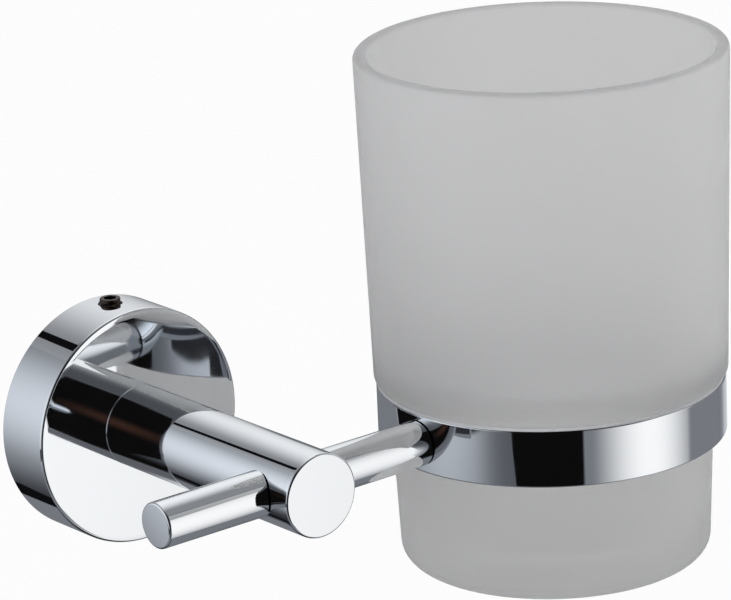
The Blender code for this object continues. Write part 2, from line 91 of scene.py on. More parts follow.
# Places and outer sizes that the solids fix
PLATE_LOW, PLATE_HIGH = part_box("wall_plate")
FLANGE_LOW, FLANGE_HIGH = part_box("wall_flange")
SET_SCREW_LOW, SET_SCREW_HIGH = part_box("set_screw")
TUBE_LOW, TUBE_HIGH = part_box("arm_tube")
CAP_LOW, CAP_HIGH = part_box("arm_end_cap")
PLUG_LOW, PLUG_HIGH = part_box("arm_root_plug")
ARM_SCREW_LOW, ARM_SCREW_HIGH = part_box("arm_screw")
WASHER_LOW, WASHER_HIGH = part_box("arm_lock_washer")
PIN_LOW, PIN_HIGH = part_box("arm_locating_pin")
BUSH_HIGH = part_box("cross_bush")[1]
STUD_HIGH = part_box("cross_stud")[1]
PEG_LOW, PEG_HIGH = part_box("peg")
BAR_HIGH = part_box("ring_bar")[1]
RING_LOW, RING_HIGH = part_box("ring_band")
RING_SCREW_LOW, RING_SCREW_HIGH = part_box("ring_screw")
TUMBLER_LOW, TUMBLER_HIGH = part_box("tumbler")

WALL_CENTRE = Vector((0, 0, 0))
SET_SCREW_DEPTH = -(SET_SCREW_LOW.y + SET_SCREW_HIGH.y) / 2
PIN_LEVEL = (PIN_LOW.z + PIN_HIGH.z) / 2
ROD_CENTRE = Vector((0, (PEG_LOW.y + PEG_HIGH.y) / 2, 0))
RING_CENTRE = (RING_LOW + RING_HIGH) / 2

# The point that the cards face, the tent's height over the floor, and the camera's fixed values
HOLDER_MIDDLE = Vector((35 * MM, -48 * MM, 0))
TENT_LIFT = 10 * MM
NEAR_CLIP = 10 * MM
SENSOR_WIDTH = 36

# Soft cards round the holder, which give the chrome its bright and dark reflections. Azimuth is 0
# straight out from the wall and grows towards the ring. In degrees and millimetres. Softness is
# the share of the half width and of the half height over which an edge fades.
STUDIO_CARDS = (
    # name, azimuth, elevation, distance, width, height, softness, colour
    ("overhead_card", 57, 76, 1220, 6390, 7340, 0.12, "#86888C"),
    ("key_softbox", 26, -6, 1030, 1810, 4420, 0.97, "#FFFFFF"),
    ("low_front_card", -26, -44, 812, 2440, 173, 0.54, "#5F6065"),
    ("high_front_card", -36, 34, 594, 3710, 1506, 0.78, "#4B4D51"),
    ("back_softbox", 144, 50, 483, 710, 2043, 1.0, "#F5F6F8"),
    ("right_softbox", 122, -20, 400, 400, 406, 1.0, "#D0D2D4"),
    ("low_dark_card", -154, -80, 462, 350, 1287, 0.4, "#2E2F33"),
    ("left_softbox", -114, 9, 332, 838, 644, 1.0, "#EAF0F8"),
    ("black_flag", -36, 2, 208, 184, 441, 0.08, "#0D0C0C"),
    ("brown_card", -55, 10, 203, 60, 90, 1.0, "#38261F"),
    ("left_dark_card", -99, -15, 240, 186, 34, 0.1, "#26272A"),
    ("far_left_dark_card", -118, -16, 320, 92, 44, 0.1, "#222326"),
    ("low_left_grey_card", -57, -18, 240, 284, 200, 1.0, "#56595E"),
    ("low_back_grey_card", 132, -30, 110, 90, 200, 0.3, "#696C71"),
    ("right_grey_card", 76, -15, 600, 430, 560, 0.25, "#787A80"),
    ("right_edge_card", 110, -17, 420, 110, 460, 0.3, "#9C9EA6"),
)
# Cards in front of the scrim, which only the glass shows: two pale ones at the sides, and a
# dark one high in front
SCRIM_CARDS = (
    # name, azimuth, elevation, distance, width, height, softness, colour
    ("left_scrim_card", -125, 8, 1500, 2300, 3000, 0.8, "#FFFFFF"),
    ("right_scrim_card", 80, 0, 1500, 2000, 3000, 0.8, "#FFFFFF"),
    ("high_front_scrim_card", 36, 46, 1400, 3600, 3000, 0.5, "#343435"),
)
# Legs of the black stand behind the holder, which its chrome shows as thin black lines.
# In millimetres, in the holder's own frame.
STAND_LEGS = (
    # name, start, radius there, end, radius there
    ("upper_leg", (-16.5, 24, 36), 1.8, (-32.5, 24, 94), 6.6),
    ("lower_leg", (-24, 24, -30), 3.6, (-25, 24, -95), 6.0),
)


def linear(hex_colour):
    """Scene-linear red, green and blue of an sRGB hex colour such as #E8EAED."""
    shares = [int(hex_colour[place:place + 2], 16) / 255 for place in (1, 3, 5)]
    return tuple(s / 12.92 if s <= 0.04045 else ((s + 0.055) / 1.055) ** 2.4 for s in shares)


def length(name, description, default):
    """A length that a user can change, in metres."""
    return FloatProperty(name=name, description=description, default=default, min=0,
                         unit="LENGTH", precision=5)


def share(name, description, default):
    """A share that a user can change, from 0 to 1."""
    return FloatProperty(name=name, description=description, default=default, min=0, max=1,
                         subtype="FACTOR", precision=3)


def angle(name, description, degrees):
    """An angle that a user can change, given here in degrees."""
    return FloatProperty(name=name, description=description, default=math.radians(degrees),
                         subtype="ANGLE")


def colour(name, description, hex_colour):
    """A colour that a user can change, given here as sRGB hex."""
    return FloatVectorProperty(name=name, description=description, default=linear(hex_colour),
                               min=0, max=1, size=3, subtype="COLOR")


class FlangeSizes(bpy.types.PropertyGroup):
    """Wall flange."""

    radius: length("Radius", "Outer radius of the flange", FLANGE_HIGH.x)
    depth: length("Depth", "From the wall to the flange's face", -FLANGE_LOW.y)
    wall: length("Wall", "Thickness of the rim and of the face", 3.2 * MM)
    face_round: length("Face edge round", "Round between the face and the rim", 0.6 * MM)
    buffed_width: length("Buffed edge", "How far in from the rim buffing reaches", 1.5 * MM)
    buffed_drop: length("Buffed drop", "How much buffing takes off at the edge", 0.17 * MM)
    back_round: length("Back edge round", "Round of the rim's edges on the wall", 0.2 * MM)
    inner_round: length("Inner round", "Round in the cup's inner corner", 0.8 * MM)
    screw_hole: length("Arm screw hole", "Radius of the arm screw's hole", 3.0 * MM)
    set_screw_hole: length("Set screw hole", "Radius of the hole in the rim", 2.5 * MM)
    hole_chamfer: length("Hole chamfer", "Bevel round the set screw's hole", 0.2 * MM)
    pin_hole: length("Pin hole", "Radius of the locating pin's bores", 1.05 * MM)
    pin_hole_depth: length("Pin hole depth", "Depth of the pin's bore in the face", 2.0 * MM)


class PlateSizes(bpy.types.PropertyGroup):
    """Wall plate inside the flange."""

    wall: length("Rim wall", "Thickness of the plate's rim", 3.0 * MM)
    web: length("Web", "Thickness of the plate's flat", 4.0 * MM)
    cast_round: length("Cast round", "Round of the cast edges", 0.4 * MM)
    groove_depth: length("Groove depth", "Depth of the set screw's groove", 0.6 * MM)
    groove_half_floor: length("Groove half floor", "Half the width of its floor", 1.9 * MM)
    slot_offset: length("Slot offset", "From the centre to a slot's centre", 12.5 * MM)
    slot_length: length("Slot length", "Length of a wall screw's slot", 7.0 * MM)
    slot_width: length("Slot width", "Width of a wall screw's slot", 4.5 * MM)


class ArmSizes(bpy.types.PropertyGroup):
    """Arm tube, its end cap and its root plug."""

    radius: length("Radius", "Outer radius of the arm", TUBE_HIGH.x)
    wall: length("Wall", "Wall of the arm tube", 1.2 * MM)
    edge_round: length("Edge round", "Round of the end cap's front edge", 0.5 * MM)
    root_round: length("Root round", "Round of the tube's edge on the flange", 0.2 * MM)
    seam: length("Seam", "Hairline between the tube and what it meets", 0.01 * MM)
    seat_gap: length("Seat gap", "Gap where the rods' ends meet the arm and the ring", 0.3 * MM)
    plug_bore_end: length("Plug bore end", "From the wall to the tapped bore's end", 24.6 * MM)
    plug_chamfer: length("Plug chamfer", "Bevel of the plug's inner end", 0.5 * MM)
    pin_bore_end: length("Pin bore end", "From the wall to the end of the pin's bore", 17.1 * MM)


class RodSizes(bpy.types.PropertyGroup):
    """Peg and ring bar, and the bush inside the arm."""

    radius: length("Radius", "Radius of the peg and of the ring bar", PEG_HIGH.z)
    end_round: length("End round", "Round of the peg's end", 0.5 * MM)
    bore_radius: length("Bore radius", "Bore for the cross stud", 2.5 * MM)
    bore_reach: length("Bore reach", "From the arm's axis to the bore's end", 18.2 * MM)
    ring_bore_radius: length("Ring bore radius", "Bore for the ring screw", 2.0 * MM)
    ring_bore_runout: length("Ring bore run-out", "Bore past the ring screw's tip", 1.5 * MM)


class RingSizes(bpy.types.PropertyGroup):
    """Band ring."""

    radius: length("Radius", "Outer radius of the ring", (RING_HIGH.x - RING_LOW.x) / 2)
    height: length("Height", "Height of the band", RING_HIGH.z - RING_LOW.z)
    wall: length("Wall", "Thickness of the band", 2.0 * MM)
    edge_round: length("Edge round", "Round of the band's four edges", 0.4 * MM)
    sink_clearance: length("Countersink clearance", "Gap round the ring screw's head", 0.3 * MM)


class FastenerSizes(bpy.types.PropertyGroup):
    """Screws, stud, washer and pin."""

    m4_pitch: length("M4 pitch", "Pitch of the ring screw's thread", 0.7 * MM)
    m5_pitch: length("M5 pitch", "Pitch of the set screw's and the stud's thread", 0.8 * MM)
    m6_pitch: length("M6 pitch", "Pitch of the arm screw's thread", 1.0 * MM)
    m4_radius: length("M4 radius", "Middle of the ring screw's thread", 1.7 * MM)
    m5_radius: length("M5 radius", "Middle of the M5 threads", 2.15 * MM)
    m6_radius: length("M6 radius", "Middle of the arm screw's thread", 2.6 * MM)
    thread_wave: length("Thread wave", "Half the height of a thread", 0.22 * MM)
    set_screw_tip: length("Set screw tip", "Radius of its flat tip", 1.5 * MM)
    set_screw_socket: length("Set screw socket", "Across the flats of its socket", 2.5 * MM)
    set_screw_socket_depth: length("Set screw socket depth", "Depth of its socket", 2.0 * MM)
    arm_head_height: length("Arm screw head", "Height of the arm screw's head", 3.3 * MM)
    arm_head_round: length("Arm screw head round", "Round of that head's edge", 1.2 * MM)
    arm_socket: length("Arm screw socket", "Across the flats of its socket", 4.0 * MM)
    arm_socket_depth: length("Arm screw socket depth", "Depth of its socket", 2.1 * MM)
    ring_neck: length("Ring screw head", "Height of the countersunk head", 1.6 * MM)
    ring_socket: length("Ring screw socket", "Across the flats of its socket", 2.5 * MM)
    ring_socket_depth: length("Ring screw socket depth", "Depth of its socket", 1.2 * MM)
    edge_round: length("Edge round", "Round of the screws' outer edges", 0.15 * MM)
    washer_bore: length("Washer bore", "Inner radius of the split washer", 3.0 * MM)
    washer_split: length("Washer split", "Width of the split", 1.0 * MM)
    washer_rise: length("Washer rise", "How far the split's ends stand apart", 0.3 * MM)
    pin_round: length("Pin round", "Round of the locating pin's ends", 0.3 * MM)
    stud_chamfer: length("Stud chamfer", "Bevel of the stud's ends", 0.5 * MM)


class TumblerSizes(bpy.types.PropertyGroup):
    """Stepped tumbler."""

    rim_radius: length("Rim radius", "Outer radius at the mouth",
                       (TUMBLER_HIGH.x - TUMBLER_LOW.x) / 2)
    shoulder_radius: length("Shoulder radius", "Outer radius just above the step", 36.75 * MM)
    neck_radius: length("Neck radius", "Outer radius just below the step", 33.9 * MM)
    base_radius: length("Base radius", "Outer radius at the base", 32.3 * MM)
    step_height: length("Step height", "Height of the step over the ring's middle", 6.35 * MM)
    wall: length("Wall", "Thickness of the glass", 3.0 * MM)
    lip_flat: length("Lip flat", "Flat left on top of the lip", 0.4 * MM)
    base_thickness: length("Base thickness", "Thickness of the base", 7.0 * MM)
    ramp_height: length("Ramp height", "Height over which the bore widens at the step", 6.0 * MM)
    shoulder_round: length("Shoulder round", "Round of the outer edge of the step", 1.6 * MM)
    heel_round: length("Heel round", "Round of the base's outer edge", 4.0 * MM)
    well_round: length("Well round", "Round of the base's inner corner", 5.0 * MM)
    ramp_round: length("Ramp round", "Rounds of the bore at the step", 5.0 * MM)


class FinishColours(bpy.types.PropertyGroup):
    """Colours of the finishes."""

    chrome: colour("Chrome", "Chrome plate, a little blue", "#F7F9FB")
    zinc: colour("Zinc", "Zinc die casting, as cast", "#B4B6BA")
    zinc_flow: colour("Zinc flow marks", "Where the zinc went cold in the die", "#9FA1A6")
    steel: colour("Steel", "Stainless steel screws", "#C3C1BD")
    black_steel: colour("Black steel", "Blackened steel of the set screw", "#4A403A")
    brass: colour("Brass", "Bare turned brass", "#D9B36B")
    tarnish: colour("Tarnish", "The same brass where it has tarnished", "#B98F4E")
    glass: colour("Glass", "Acid-frosted glass", "#FFFFFF")
    # The foot's colour is painted shade: the glass below the ring is greyer, where it gets less
    # light
    foot: colour("Foot", "The same glass below the step, where it is thick", "#F6F6F6")
    # The lip's colour is painted shade: a darker band for the thin dark line along the rounded lip
    lip: colour("Lip", "The tumbler's lip, melted smooth", "#DBDBDB")
    floor: colour("Floor", "Matt floor under the holder", "#F4F4F4")
    tent: colour("Tent", "Grey cloth round the holder, which only metal shows", "#75787E")
    scrim: colour("Scrim", "Pale cloth inside the tent, which only glass shows", "#C1C1C2")
    stand: colour("Stand", "Black legs behind the holder, which only metal shows", "#0E0E10")


class StudioSettings(bpy.types.PropertyGroup):
    """Camera, light and floor."""

    azimuth: angle("Azimuth", "Camera's angle round the holder", -38.492)
    elevation: angle("Elevation", "Camera's angle over the horizon", 17.657)
    roll: angle("Roll", "Camera's turn about its own axis", 2.561)
    distance: length("Distance", "From the camera to the point that it aims at", 896.8 * MM)
    aim: FloatVectorProperty(name="Aim", description="Point in the middle of the picture", size=3,
                             default=(33.9 * MM, -47.81 * MM, 26.9 * MM),
                             subtype="XYZ", unit="LENGTH")
    lens: FloatProperty(name="Lens", description="Focal length on a 36 mm wide sensor",
                        default=216.48, unit="CAMERA")
    floor_drop: length("Floor drop", "From the arm's axis down to the floor", 1200 * MM)
    floor_size: length("Floor size", "Side of the floor", 12)
    floor_glow: share("Floor glow", "Share of the floor that stays white in shadow", 0.75)
    tent_size: length("Tent size", "Side of the grey cloth tent", 5)
    world_level: FloatProperty(name="World level", description="Soft light from all round",
                               default=1.0, min=0)
    lamp_power: FloatProperty(name="Lamp power", description="Power of the overhead softbox",
                              default=6, min=0, unit="POWER")
    lamp_size: length("Lamp size", "Side of the overhead softbox", 1.5)
    lamp_height: length("Lamp height", "From the holder up to the softbox", 2)


class HolderSettings(bpy.types.PropertyGroup):
    """Everything that the operators read."""

    flange: PointerProperty(type=FlangeSizes)
    plate: PointerProperty(type=PlateSizes)
    arm: PointerProperty(type=ArmSizes)
    rod: PointerProperty(type=RodSizes)
    ring: PointerProperty(type=RingSizes)
    fastener: PointerProperty(type=FastenerSizes)
    tumbler: PointerProperty(type=TumblerSizes)
    colours: PointerProperty(type=FinishColours)
    studio: PointerProperty(type=StudioSettings)


def round_corners(corners):
    """Points of an outline whose corners are (radius, height) or (radius, height, round)."""
    points = []
    for index, corner in enumerate(corners):
        here = Vector((corner[0], 0, corner[1]))
        if len(corner) == 2:
            points.append(here)
            continue
        before = corners[index - 1]
        after = corners[(index + 1) % len(corners)]
        to_before = (Vector((before[0], 0, before[1])) - here).normalized()
        to_after = (Vector((after[0], 0, after[1])) - here).normalized()
        half_angle = to_before.angle(to_after) / 2
        inward = (to_before + to_after).normalized() / math.sin(half_angle)
        start = (to_before / math.tan(half_angle) - inward).normalized()
        end = (to_after / math.tan(half_angle) - inward).normalized()
        steps = math.ceil((math.pi - 2 * half_angle) / ARC_STEP)
        for step in range(steps + 1):
            points.append(here + (inward + start.slerp(end, step / steps)) * corner[2])
    return points


def add_piece(name, bm, place, turn, material=None):
    """Close a bmesh into an object. With no material it is a cutter, drawn as wires."""
    bmesh.ops.remove_doubles(bm, verts=bm.verts, dist=MERGE_DISTANCE)
    bmesh.ops.recalc_face_normals(bm, faces=bm.faces)
    mesh = bpy.data.meshes.new(name)
    bm.to_mesh(mesh)
    bm.free()
    piece = bpy.data.objects.new(name, mesh)
    piece.location = place
    piece.rotation_euler = turn
    bpy.context.scene.collection.objects.link(piece)
    if material is None:
        piece.hide_render = True
        piece.display_type = "WIRE"
    else:
        mesh.materials.append(material)
        mesh.shade_smooth()
        mesh.set_sharp_from_angle(angle=SHARP_ANGLE)
    return piece


def spin(corners, steps, closed=False):
    """A bmesh turned about +Z. A closed outline makes a ring, an open one ends on the axis."""
    bm = bmesh.new()
    verts = [bm.verts.new(point) for point in round_corners(corners)]
    next_verts = verts[1:] + verts[:1] if closed else verts[1:]
    edges = [bm.edges.new(pair) for pair in zip(verts, next_verts)]
    bmesh.ops.spin(bm, geom=verts + edges, cent=WALL_CENTRE, axis=(0, 0, 1),
                   angle=2 * math.pi, steps=steps)
    return bm


def bar(radius, start, end, steps):
    """A plain round bar, or with HEX_STEPS a hexagonal one, from start to end on its own axis."""
    return spin([(0, end), (radius, end), (radius, start), (0, start)], steps)


def cut(piece, cutter):
    """Take the cutter's shape out of the piece."""
    modifier = piece.modifiers.new(cutter.name, "BOOLEAN")
    modifier.operation = "DIFFERENCE"
    modifier.solver = "EXACT"
    modifier.object = cutter


def add_node(tree, kind, settings=(), inputs=()):
    """A node with its settings, and each input set to a value or linked from (node, output)."""
    node = tree.nodes.new(kind)
    for name, value in dict(settings).items():
        setattr(node, name, value)
    for name, value in dict(inputs).items():
        if isinstance(value, tuple) and isinstance(value[0], bpy.types.Node):
            tree.links.new(value[0].outputs[value[1]], node.inputs[name])
        else:
            node.inputs[name].default_value = value
    return node


def new_material(name, base_colour, metallic, roughness):
    """A material with its node tree and its shader, whose even values are set."""
    material = bpy.data.materials.new(name)
    material.use_nodes = True
    tree = material.node_tree
    shader = tree.nodes["Principled BSDF"]
    shader.inputs["Base Color"].default_value = (*base_colour, 1)
    shader.inputs["Metallic"].default_value = metallic
    shader.inputs["Roughness"].default_value = roughness
    material.diffuse_color = (*base_colour, 1)
    return material, tree, shader


def raise_grain(tree, shader, coords, grain, detail, height):
    """Bumps as high as this all over, in lumps about one grain across."""
    lumps = add_node(tree, "ShaderNodeTexNoise", {}, {
        "Vector": (coords, "Object"), "Scale": 1 / grain, "Detail": detail, "Roughness": 0.5})
    bump = add_node(tree, "ShaderNodeBump", {}, {
        "Strength": 1.0, "Distance": height, "Height": (lumps, "Fac")})
    tree.links.new(bump.outputs["Normal"], shader.inputs["Normal"])


def turn_rings(tree, shader, coords, spacing, height):
    """Fine rings about a turned piece's own axis, as a lathe tool leaves them."""
    rings = add_node(tree, "ShaderNodeTexWave", {
        "wave_type": "RINGS", "rings_direction": "Z"}, {
        "Vector": (coords, "Object"), "Scale": math.tau / WAVE_RADIANS / spacing,
        "Distortion": 0.6, "Detail": 1.0})
    bump = add_node(tree, "ShaderNodeBump", {}, {
        "Strength": 1.0, "Distance": height, "Height": (rings, "Fac")})
    tree.links.new(bump.outputs["Normal"], shader.inputs["Normal"])


def vary_gloss(tree, shader, coords, grain, detail, low, high):
    """Roughness that wanders from low to high, in patches about one grain across."""
    patches = add_node(tree, "ShaderNodeTexNoise", {}, {
        "Vector": (coords, "Object"), "Scale": 1 / grain, "Detail": detail, "Roughness": 0.5})
    roughness = add_node(tree, "ShaderNodeMapRange", {}, {
        "Value": (patches, "Fac"), "From Min": NOISE_LOW, "From Max": NOISE_HIGH,
        "To Min": low, "To Max": high})
    tree.links.new(roughness.outputs["Result"], shader.inputs["Roughness"])
    return patches


def stain(tree, shader, patches, clean, stained):
    """Colour that goes from clean in the glossy patches to stained in the dull ones."""
    part = add_node(tree, "ShaderNodeMapRange", {}, {
        "Value": (patches, "Fac"), "From Min": NOISE_LOW, "From Max": NOISE_HIGH,
        "To Min": 0.0, "To Max": 1.0})
    shade = add_node(tree, "ShaderNodeMixRGB", {}, {
        "Fac": (part, "Result"), "Color1": (*clean, 1), "Color2": (*stained, 1)})
    tree.links.new(shade.outputs["Color"], shader.inputs["Base Color"])


def chrome_plated_brass(colours):
    """Bright nickel-chrome plate over buffed brass.

    The buffing leaves slow waves that bend reflected edges a little, and a faint haze.
    """
    material, tree, shader = new_material("Chrome plated brass, buffed", colours.chrome,
                                          metallic=1, roughness=0.03)
    coords = add_node(tree, "ShaderNodeTexCoord")
    raise_grain(tree, shader, coords, grain=14 * MM, detail=1, height=0.004 * MM)
    vary_gloss(tree, shader, coords, grain=5 * MM, detail=3, low=0.015, high=0.05)
    return material


def stainless_steel(colours):
    """Stainless steel, turned and tumbled: grey, with soft lathe rings on the flat ends.

    The real rings are 0.1 mm apart. They are drawn 0.3 mm apart, so that a close view shows them.
    """
    material, tree, shader = new_material("Stainless steel, turned", colours.steel,
                                          metallic=1, roughness=0.3)
    coords = add_node(tree, "ShaderNodeTexCoord")
    turn_rings(tree, shader, coords, spacing=0.3 * MM, height=0.006 * MM)
    vary_gloss(tree, shader, coords, grain=0.8 * MM, detail=2, low=0.22, high=0.38)
    return material


def blackened_steel(colours):
    """Alloy steel under black oxide: near black, with a brown cast and a dull oiled gloss."""
    material, tree, shader = new_material("Alloy steel, black oxide", colours.black_steel,
                                          metallic=1, roughness=0.35)
    coords = add_node(tree, "ShaderNodeTexCoord")
    raise_grain(tree, shader, coords, grain=0.3 * MM, detail=3, height=0.006 * MM)
    vary_gloss(tree, shader, coords, grain=0.8 * MM, detail=2, low=0.25, high=0.45)
    return material


def zinc_die_casting(colours):
    """Zinc alloy as it leaves the die: dull grey, with a fine orange-peel skin and flow marks."""
    material, tree, shader = new_material("Zinc die casting, as cast", colours.zinc,
                                          metallic=1, roughness=0.45)
    coords = add_node(tree, "ShaderNodeTexCoord")
    raise_grain(tree, shader, coords, grain=0.7 * MM, detail=4, height=0.03 * MM)
    flow = vary_gloss(tree, shader, coords, grain=6 * MM, detail=3, low=0.36, high=0.58)
    stain(tree, shader, flow, colours.zinc, colours.zinc_flow)
    return material


def turned_brass(colours):
    """Free-cutting brass, turned and left bare: yellow, with lathe rings and a little tarnish."""
    material, tree, shader = new_material("Brass, turned", colours.brass,
                                          metallic=1, roughness=0.3)
    coords = add_node(tree, "ShaderNodeTexCoord")
    turn_rings(tree, shader, coords, spacing=0.35 * MM, height=0.008 * MM)
    patches = vary_gloss(tree, shader, coords, grain=3 * MM, detail=3, low=0.2, high=0.42)
    stain(tree, shader, patches, colours.brass, colours.tarnish)
    return material


def frosted_glass(colours):
    """Soda-lime glass, acid-etched inside and out: an even, satin, grey-white haze.

    The etch pits are about 0.05 mm wide. They are drawn 0.3 mm wide, so that a close view shows
    a fine grain. The lip is painted a little darker: painted shade for the thin dark line along
    its rounded edge. The glass below the ring is painted a little greyer: painted shade for the
    lower body, which gets less light than the upper one.
    """
    material, tree, shader = new_material("Soda-lime glass, acid-frosted", colours.glass,
                                          metallic=0, roughness=0.6)
    shader.inputs["IOR"].default_value = GLASS_IOR
    shader.inputs["Transmission Weight"].default_value = 1
    coords = add_node(tree, "ShaderNodeTexCoord")
    raise_grain(tree, shader, coords, grain=0.3 * MM, detail=2, height=0.005 * MM)
    vary_gloss(tree, shader, coords, grain=4 * MM, detail=3, low=0.56, high=0.66)
    # From the foot up, each painted shade gives way to the next between two heights over the ring's
    # middle
    axes = add_node(tree, "ShaderNodeSeparateXYZ", {}, {"Vector": (coords, "Object")})
    rim = TUMBLER_HIGH.z - RING_CENTRE.z
    shade = (*colours.foot, 1)
    for low, high, upper in ((-FOOT_SHADE_FADE, FOOT_SHADE_FADE, colours.glass),
                             (rim - LIP_SHADE_FADE, rim, colours.lip)):
        part = add_node(tree, "ShaderNodeMapRange", {"interpolation_type": "SMOOTHSTEP"}, {
            "Value": (axes, "Z"), "From Min": low, "From Max": high})
        mix = add_node(tree, "ShaderNodeMixRGB", {}, {
            "Fac": (part, "Result"), "Color1": shade, "Color2": (*upper, 1)})
        shade = (mix, "Color")
    tree.links.new(mix.outputs["Color"], shader.inputs["Base Color"])
    return material


# What makes the finish of each slot, and the finishes made so far
MAKERS = {
    "chrome": chrome_plated_brass,
    "steel": stainless_steel,
    "black_steel": blackened_steel,
    "zinc": zinc_die_casting,
    "brass": turned_brass,
    "frosted_glass": frosted_glass,
}
FINISHES = {}


def finish(slot):
    """The finish of a slot, made the first time that a part asks for it."""
    if slot not in FINISHES:
        FINISHES[slot] = MAKERS[slot](bpy.context.scene.toothbrush_holder.colours)
    return FINISHES[slot]


def add_part(node, slot, bm, place, turn, cutters=(), body="holder"):
    """A fine piece that stands for its solid, less its cutters: (name, bmesh, place, turn)."""
    piece = add_piece(f"{node}_fine", bm, place, turn, finish(slot))
    for cutter in cutters:
        cut(piece, add_piece(*cutter))
    # Even out the shading over wide flats
    modifier = piece.modifiers.new("flat shading", "WEIGHTED_NORMAL")
    modifier.keep_sharp = True
    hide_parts(node)
    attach(piece, body)


def slot_cutter(size, heading):
    """A prism as wide and long as a slot, with its length at the angle heading."""
    bm = bmesh.new()
    half_run = (size.slot_length - size.slot_width) / 2
    end_steps = SMALL_STEPS // 2
    outline = []
    for end in (heading, heading + math.pi):
        centre = Vector((math.cos(end), math.sin(end), 0)) * half_run
        for step in range(end_steps + 1):
            turn = end + math.pi * (step / end_steps - 1 / 2)
            rim = Vector((math.cos(turn), math.sin(turn), 0)) * size.slot_width / 2
            outline.append(bm.verts.new(centre + rim))
    grown = bmesh.ops.extrude_face_region(bm, geom=[bm.faces.new(outline)])
    raised = [item for item in grown["geom"] if isinstance(item, bmesh.types.BMVert)]
    bmesh.ops.translate(bm, verts=raised, vec=(0, 0, size.web + 2 * CUT_OVERRUN))
    return bm


def hex_cutter(across_flats, start, end):
    """A hexagonal bar that cuts a socket, by its width across the flats."""
    return bar(across_flats / math.sqrt(3), start, end, HEX_STEPS)


def thread_rows(radius, start, end, pitch):
    """Corners of a shank, close enough together to carry a thread."""
    rows = round(abs(end - start) / pitch * ROWS_PER_PITCH)
    return [(radius, start + (end - start) * row / rows) for row in range(rows + 1)]


def wind_thread(bm, radius, low, high, pitch, wave):
    """Wind a rounded right-hand thread round the shank between two heights."""
    for vert in bm.verts:
        reach = vert.co.xy.length
        if not low < vert.co.z < high or abs(reach - radius) > MERGE_DISTANCE:
            continue
        fade = min(1, (vert.co.z - low) / pitch, (high - vert.co.z) / pitch)
        turn = math.atan2(vert.co.y, vert.co.x)
        crest = radius + wave * fade * math.cos(math.tau * vert.co.z / pitch - turn)
        vert.co.x *= crest / reach
        vert.co.y *= crest / reach


def split_ring(inner, outer, thickness, split, rise):
    """A flat ring with a split at -Y, whose two ends stand a little apart in height."""
    bm = bmesh.new()
    half_gap = math.asin(split / (inner + outer))
    rings = []
    for step in range(SMALL_STEPS + 1):
        part = step / SMALL_STEPS
        turn = -math.pi / 2 + half_gap + part * (math.tau - 2 * half_gap)
        lift = rise * (part - 1 / 2)
        section = [(inner, -thickness / 2), (outer, -thickness / 2),
                   (outer, thickness / 2), (inner, thickness / 2)]
        rings.append([bm.verts.new((radius * math.cos(turn), radius * math.sin(turn),
                                    level + lift)) for radius, level in section])
    for here, there in zip(rings, rings[1:]):
        for corner in range(4):
            bm.faces.new((here[corner - 1], here[corner], there[corner], there[corner - 1]))
    bm.faces.new(rings[0])
    bm.faces.new(rings[-1])
    return bm


def saddle(bm, level, height_at):
    """Bend the flat end of a rod that lies at this level to the surface that it meets."""
    for vert in bm.verts:
        if abs(vert.co.z - level) < MERGE_DISTANCE:
            vert.co.z = height_at(vert.co.x, vert.co.y)


def outward(turn, rise):
    """The direction from the holder at an azimuth and an elevation."""
    return Vector((math.sin(turn) * math.cos(rise), -math.cos(turn) * math.cos(rise),
                   math.sin(rise)))


def seen_directly(tree):
    """1 for what the camera sees straight, in metal or through glass, and 0 for soft light."""
    path = add_node(tree, "ShaderNodeLightPath")
    metal = add_node(tree, "ShaderNodeMath", {"operation": "MAXIMUM"}, {
        0: (path, "Is Camera Ray"), 1: (path, "Is Glossy Ray")})
    return add_node(tree, "ShaderNodeMath", {"operation": "MAXIMUM"}, {
        0: (metal, "Value"), 1: (path, "Is Transmission Ray")})


def glowing_material(name, glow_colour):
    """A material that only glows, for what the metal or the glass shows."""
    material = bpy.data.materials.new(name)
    material.use_nodes = True
    tree = material.node_tree
    tree.nodes.remove(tree.nodes["Principled BSDF"])
    glow = add_node(tree, "ShaderNodeEmission", {}, {"Color": (*glow_colour, 1), "Strength": 1.0})
    tree.links.new(glow.outputs["Emission"], tree.nodes["Material Output"].inputs["Surface"])
    return material, tree, glow


def show_in_metal_only(thing):
    """Keep a studio piece out of sight but for reflections. It lights nothing."""
    show_in_glass_only(thing)
    thing.visible_transmission = False
    thing.visible_glossy = True


def show_in_glass_only(thing):
    """Keep a studio piece out of sight but through the glass. It lights nothing."""
    thing.visible_camera = False
    thing.visible_diffuse = False
    thing.visible_glossy = False
    thing.visible_volume_scatter = False
    thing.visible_shadow = False


class HOLDER_OT_wall_plate(bpy.types.Operator):
    """Make the cast plate that is screwed to the wall"""

    bl_idname = "holder.wall_plate"
    bl_label = "Wall Plate"

    def execute(self, context):
        size = context.scene.toothbrush_holder.plate
        radius = PLATE_HIGH.x
        depth = -PLATE_LOW.y
        dish = radius - size.wall
        half_mouth = size.groove_half_floor + size.groove_depth
        corners = [
            (0, size.web),
            (dish, size.web, size.cast_round),
            (dish, depth, size.cast_round),
            (radius, depth, size.cast_round),
            (radius, SET_SCREW_DEPTH + half_mouth),
            (radius - size.groove_depth, SET_SCREW_DEPTH + size.groove_half_floor),
            (radius - size.groove_depth, SET_SCREW_DEPTH - size.groove_half_floor),
            (radius, SET_SCREW_DEPTH - half_mouth),
            (radius, 0, size.cast_round),
            (0, 0),
        ]
        # One slot lies level and one stands upright
        slots = [(f"slot_cut_{side}", slot_cutter(size, heading),
                  Vector((side * size.slot_offset, CUT_OVERRUN, 0)), OUT_FROM_WALL)
                 for heading, side in ((0, -1), (math.pi / 2, 1))]
        add_part("wall_plate", "zinc", spin(corners, LARGE_STEPS), WALL_CENTRE, OUT_FROM_WALL,
                 slots)
        return {"FINISHED"}


